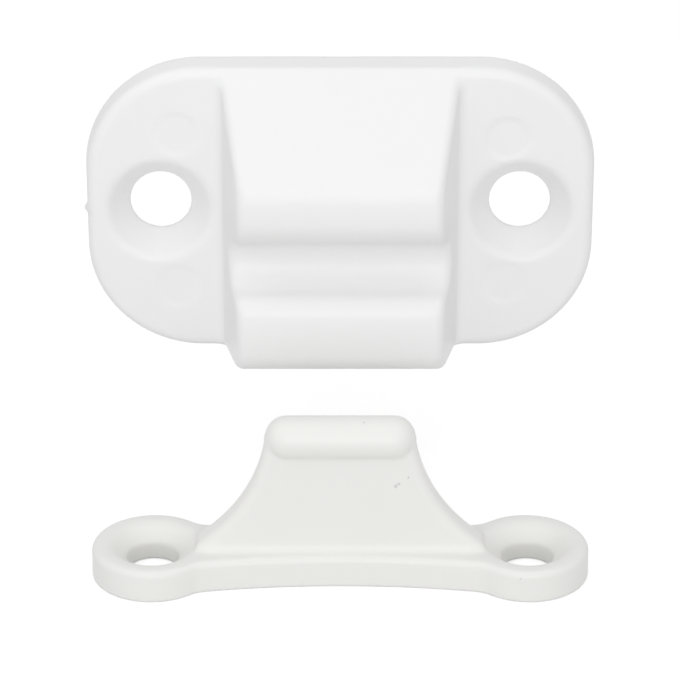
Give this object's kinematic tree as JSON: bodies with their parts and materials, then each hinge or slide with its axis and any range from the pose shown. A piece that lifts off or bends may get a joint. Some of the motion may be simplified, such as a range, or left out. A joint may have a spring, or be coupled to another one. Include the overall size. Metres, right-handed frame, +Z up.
{
  "type": "door catch",
  "caption": "White plastic snap door catch: a screw-on keeper plate whose jaws and groove grip the round bead of a screw-on strike, to hold a door or flap.",
  "frame": {"origin": "middle of the keeper's flat back face, on the wall plane", "axes": "+Y into the wall behind the keeper, +Z up, +X to the right seen from the room; the jaws reach out along -Y"},
  "size_m": [0.05, 0.0278, 0.0452],
  "materials": {
    "keeper_plastic": "satin moulded white",
    "strike_plastic": "satin moulded warm white"
  },
  "bodies": {
    "keeper": {"keeper": "keeper_plastic"},
    "strike": {"strike": "strike_plastic"}
  },
  "joints": [
    {"name": "door_swing", "type": "hinge", "parent": "keeper", "child": "strike", "pos_m": [0, -0.00985, -0.0151], "axis": [-1, 0, 0], "range_deg": [0, 90]}
  ]
}
